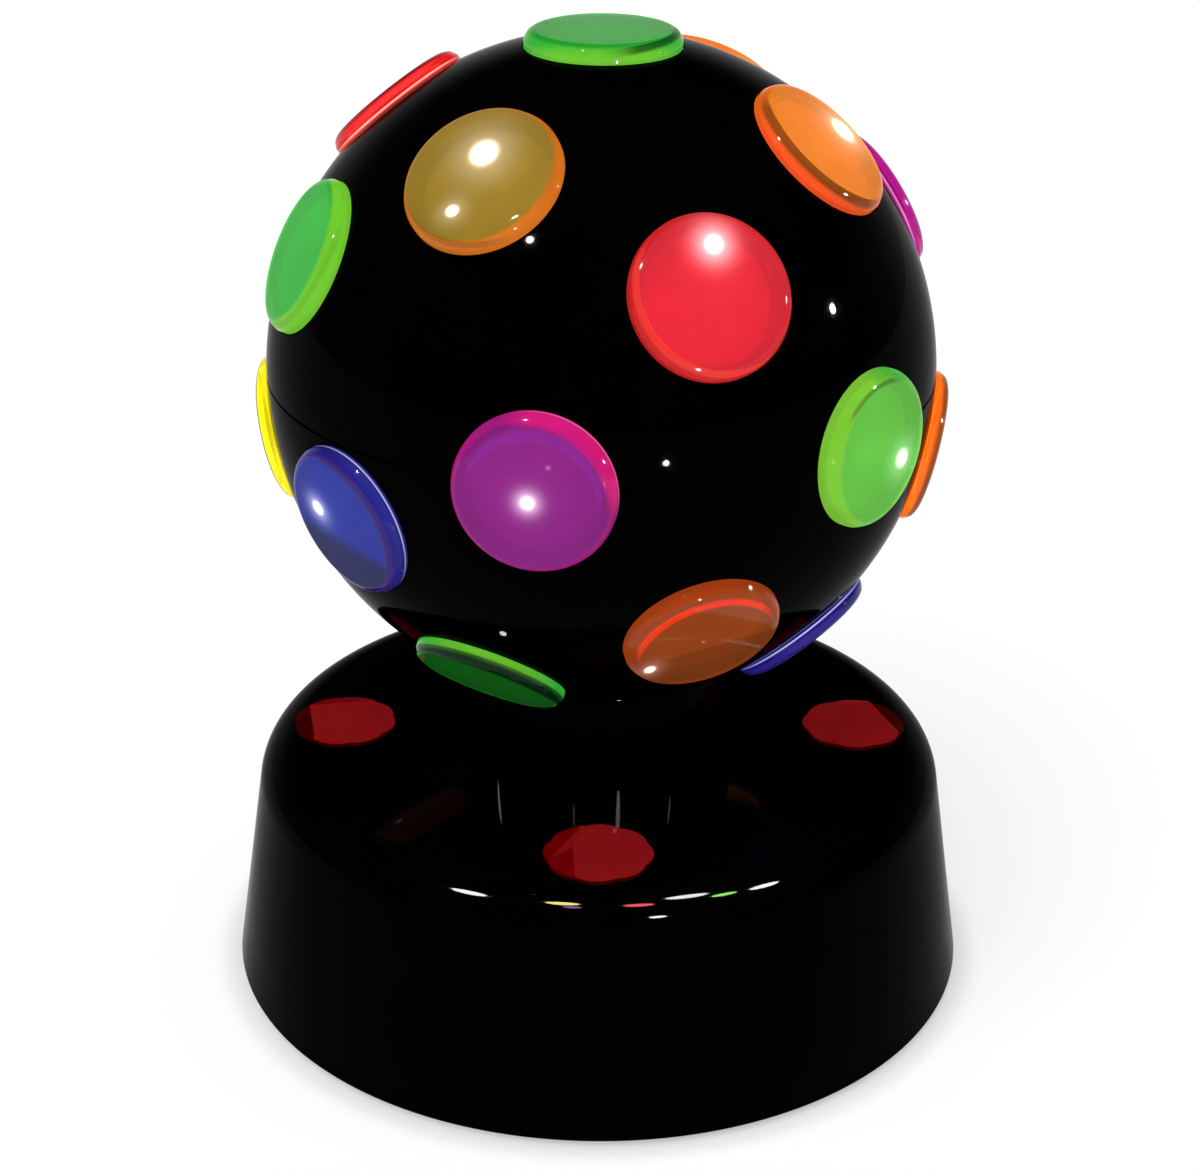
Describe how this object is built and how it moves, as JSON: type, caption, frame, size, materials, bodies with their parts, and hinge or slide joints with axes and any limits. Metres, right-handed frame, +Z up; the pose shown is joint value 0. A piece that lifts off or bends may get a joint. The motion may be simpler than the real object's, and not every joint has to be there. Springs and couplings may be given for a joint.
{
  "type": "disco lamp",
  "caption": "Battery table lamp: a gloss black ball set with round coloured lenses turns on a tapered round base with red jewels, driven by a geared motor.",
  "frame": {"origin": "middle of the base, on the surface that its feet stand on", "axes": "+Z up along the ball's turning axis, -Y towards the front of the lamp, +X to its right"},
  "size_m": [0.1406, 0.1406, 0.1807],
  "materials": {
    "gloss_black": "polished black moulding",
    "black_plastic": "plain black moulding",
    "white_acetal": "white bearing plastic",
    "steel": "zinc plated",
    "motor_metal": "plain can",
    "foot_rubber": "matt rubber",
    "brass": "plain strip",
    "cell_wrap": "printed film sleeve, left plain",
    "circuit_board": "solder mask",
    "jewel_red": "clear red, faceted",
    "led_red": "tinted clear epoxy",
    "led_green": "tinted clear epoxy",
    "led_blue": "tinted clear epoxy",
    "lens_green": "clear coloured moulding, polished",
    "lens_red": "clear coloured moulding, polished",
    "lens_orange": "clear coloured moulding, polished",
    "lens_amber": "clear coloured moulding, polished",
    "lens_purple": "clear coloured moulding, polished",
    "lens_blue": "clear coloured moulding, polished",
    "lens_yellow": "clear coloured moulding, polished"
  },
  "bodies": {
    "base": {"base_shell": "gloss_black", "base_plate": "black_plastic", "gear_deck": "black_plastic", "lamp_post": "black_plastic", "switch_body": "black_plastic", "thrust_washer": "white_acetal", "plate_screw_1": "steel", "plate_screw_2": "steel", "plate_screw_3": "steel", "gear_motor": "motor_metal", "rubber_foot_1": "foot_rubber", "rubber_foot_2": "foot_rubber", "rubber_foot_3": "foot_rubber", "rubber_foot_4": "foot_rubber", "contact_plate_left": "brass", "contact_plate_right": "brass", "aa_cell_1": "cell_wrap", "aa_cell_2": "cell_wrap", "aa_cell_3": "cell_wrap", "led_board": "circuit_board", "driver_board": "circuit_board", "jewel_front": "jewel_red", "jewel_right": "jewel_red", "jewel_back": "jewel_red", "jewel_left": "jewel_red", "led_red": "led_red", "led_green": "led_green", "led_blue": "led_blue"},
    "ball": {"ball_upper": "gloss_black", "ball_lower": "gloss_black", "neck_hub": "gloss_black", "drive_gear": "white_acetal", "lens_middle_000": "lens_green", "lens_middle_060": "lens_red", "lens_middle_120": "lens_orange", "lens_middle_240": "lens_purple", "lens_middle_300": "lens_blue", "lens_left_030": "lens_amber", "lens_left_090": "lens_purple", "lens_left_150": "lens_green", "lens_left_210": "lens_red", "lens_left_270": "lens_orange", "lens_left_330": "lens_red", "lens_right_030": "lens_orange", "lens_right_090": "lens_green", "lens_right_150": "lens_blue", "lens_right_210": "lens_amber", "lens_right_270": "lens_red", "lens_right_330": "lens_orange", "lens_left_cap_000": "lens_green", "lens_left_cap_120": "lens_blue", "lens_left_cap_240": "lens_yellow", "lens_right_cap_000": "lens_purple", "lens_right_cap_120": "lens_orange", "lens_right_cap_240": "lens_green"},
    "pinion": {"motor_pinion": "white_acetal", "motor_shaft": "steel"},
    "switch": {"switch_knob": "gloss_black"},
    "door": {"battery_door": "black_plastic"}
  },
  "joints": [
    {"name": "ball_turn", "type": "hinge", "parent": "base", "child": "ball", "pos_m": [0, 0, 0.1193], "axis": [0, 0, 1], "continuous": true},
    {"name": "pinion_turn", "type": "hinge", "parent": "base", "child": "pinion", "pos_m": [0.02659, 0.02659, 0.0351], "axis": [0, 0, 1], "continuous": true},
    {"name": "switch_slide", "type": "slide", "parent": "base", "child": "switch", "axis": [1, 0, 0], "range_m": [0, 0.004]},
    {"name": "door_hinge", "type": "hinge", "parent": "base", "child": "door", "pos_m": [-0.03065, -0.012, 0.004], "axis": [0, 1, 0], "range_deg": [0, 95]}
  ],
  "couplings": [
    {"joint": "pinion_turn", "follows": "ball_turn", "ratio": -4}
  ]
}
